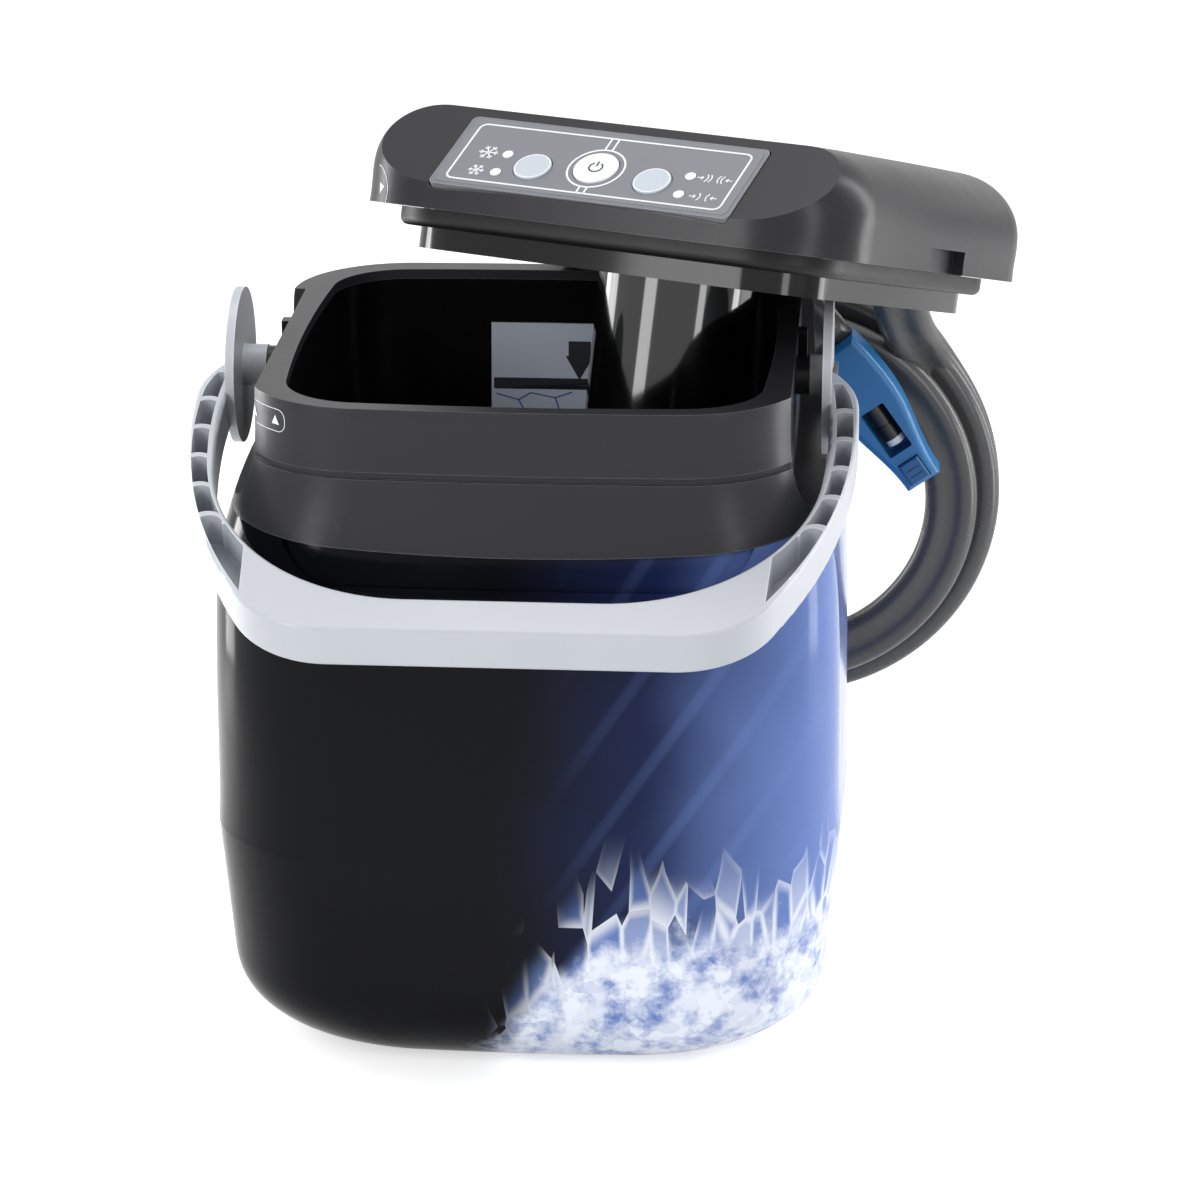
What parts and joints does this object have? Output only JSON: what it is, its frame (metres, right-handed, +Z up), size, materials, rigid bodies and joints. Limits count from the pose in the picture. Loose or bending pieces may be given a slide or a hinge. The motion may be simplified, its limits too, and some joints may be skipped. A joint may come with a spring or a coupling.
{
  "type": "hot and cold therapy machine",
  "caption": "Insulated ice bucket with a swinging carry bail, a lift-off pump lid with sprung buttons lying askew on its rim, and a coiled hose with a connector.",
  "frame": {"origin": "middle of the rubber base pad's underside, on the surface the bucket stands on", "axes": "+Z up out of the bucket, -Y towards its front, +X to the right seen from the front"},
  "size_m": [0.3113, 0.3457, 0.3535],
  "materials": {
    "rubber": "satin black rubber",
    "shell_gloss": "glossy printed shell",
    "steel": "plated steel",
    "foam": "rigid foam",
    "tub_gloss": "glossy black",
    "satin_black": "satin charcoal",
    "label": "printed plate",
    "bail_grey": "pale cool grey, satin",
    "motor_can": "painted can",
    "impeller": "natural moulding",
    "valve": "black moulding",
    "panel_black": "gloss black",
    "panel_film": "grey printed film",
    "board": "green circuit board",
    "led": "clear light pipe",
    "button_pale": "pale blue grey",
    "button_white": "white",
    "hose": "dark grey, satin",
    "connector_blue": "mid blue"
  },
  "bodies": {
    "bucket": {"base_pad": "rubber", "base_cap": "shell_gloss", "base_screws": "steel", "outer_shell": "shell_gloss", "foam_insulation": "foam", "inner_liner": "tub_gloss", "collar": "satin_black", "fill_label": "label", "pivot_pin_left": "steel", "pivot_pin_right": "steel"},
    "lid": {"lid_cover": "satin_black", "lid_tray": "tub_gloss", "lid_gasket": "rubber", "lid_screws": "steel", "pump_tower": "tub_gloss", "intake_strainer": "tub_gloss", "pump_motor": "motor_can", "air_compressor": "motor_can", "solenoid_valve": "valve", "hose_gland": "rubber", "power_inlet": "rubber", "control_bezel": "panel_black", "control_overlay": "panel_film", "circuit_board": "board", "switch_domes": "steel", "indicator_leds": "led", "hose_lead": "hose", "hose_coil": "hose", "hose_tie": "rubber", "hose_tail": "hose", "connector_body": "connector_blue", "connector_barrel": "panel_black", "connector_poppet": "button_white"},
    "bail": {"carry_bail": "bail_grey"},
    "impeller": {"pump_impeller": "impeller"},
    "cold_key": {"cold_button": "button_pale"},
    "power_key": {"power_button": "button_white"},
    "compression_key": {"compression_button": "button_pale"},
    "latch": {"connector_latch": "connector_blue"}
  },
  "joints": [
    {"name": "lid_lift", "type": "slide", "parent": "bucket", "child": "lid", "axis": [0, 0, 1], "range_m": [0, 0.2]},
    {"name": "bail_swing", "type": "hinge", "parent": "bucket", "child": "bail", "pos_m": [0, -0.008, 0.253], "axis": [-1, 0, 0], "range_deg": [0, 50]},
    {"name": "impeller_spin", "type": "hinge", "parent": "lid", "child": "impeller", "pos_m": [0.03886, 0.02172, 0.16728], "axis": [0.1083, 0.248, 0.9627], "continuous": true},
    {"name": "cold_press", "type": "slide", "parent": "lid", "child": "cold_key", "axis": [0.1724, 0.3945, -0.9026], "range_m": [0, 0.0006], "stiffness_N_per_m": 400, "springref_m": -0.0005},
    {"name": "power_press", "type": "slide", "parent": "lid", "child": "power_key", "axis": [0.1724, 0.3945, -0.9026], "range_m": [0, 0.0006], "stiffness_N_per_m": 400, "springref_m": -0.0005},
    {"name": "compression_press", "type": "slide", "parent": "lid", "child": "compression_key", "axis": [0.1724, 0.3945, -0.9026], "range_m": [0, 0.0006], "stiffness_N_per_m": 400, "springref_m": -0.0005},
    {"name": "latch_press", "type": "slide", "parent": "lid", "child": "latch", "axis": [0, 1, 0], "range_m": [0, 0.0012], "stiffness_N_per_m": 400, "springref_m": -0.0005}
  ]
}
